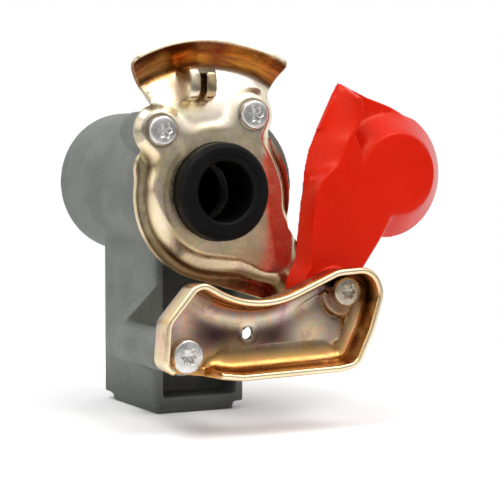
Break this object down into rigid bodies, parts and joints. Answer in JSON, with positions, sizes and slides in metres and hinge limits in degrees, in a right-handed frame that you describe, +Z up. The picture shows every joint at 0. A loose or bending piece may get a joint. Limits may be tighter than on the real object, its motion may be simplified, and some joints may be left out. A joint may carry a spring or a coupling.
{
  "type": "air brake coupling head with line filter",
  "caption": "Pneumatic brake coupling head with a filter barrel, plated claw plate and guide tray, rubber face seal and a red cover that swings aside.",
  "frame": {"origin": "centre of the threaded port's mouth, in the plane of the foot", "axes": "+Z up along the port into the housing, -Y towards the other coupling, +X to the right seen from the front"},
  "size_m": [0.1357, 0.1431, 0.1489],
  "materials": {
    "cast_body": "matte as-cast aluminium",
    "plated_sheet": "yellow chromate over zinc",
    "screws": "bright zinc",
    "spring_steel": "oiled spring steel",
    "seal_rubber": "black moulded rubber",
    "red_cover": "glossy moulded plastic",
    "filter_frame": "moulded plastic",
    "filter_mesh": "fine screen",
    "cap_cast": "matte as-cast aluminium"
  },
  "bodies": {
    "head": {"housing": "cast_body", "claw_plate": "plated_sheet", "claw_screws": "screws", "seal_ring": "seal_rubber", "seal_backing_ring": "spring_steel", "guide_tray": "plated_sheet", "tray_screw": "screws", "pivot_screw": "screws", "pivot_sleeve": "screws", "pivot_washer": "screws", "cover_spring": "spring_steel", "filter_front_ring": "filter_frame", "filter_screen": "filter_mesh", "filter_seat": "filter_frame", "filter_spring": "spring_steel", "end_cap": "cap_cast", "end_cap_ring": "seal_rubber", "retaining_ring": "spring_steel"},
    "cover_body": {"cover": "red_cover"}
  },
  "joints": [
    {"name": "cover_swing", "type": "hinge", "parent": "head", "child": "cover_body", "pos_m": [0.0349, -0.06625, 0.0514], "axis": [0, -1, 0], "range_deg": [-15, 82.1]}
  ]
}
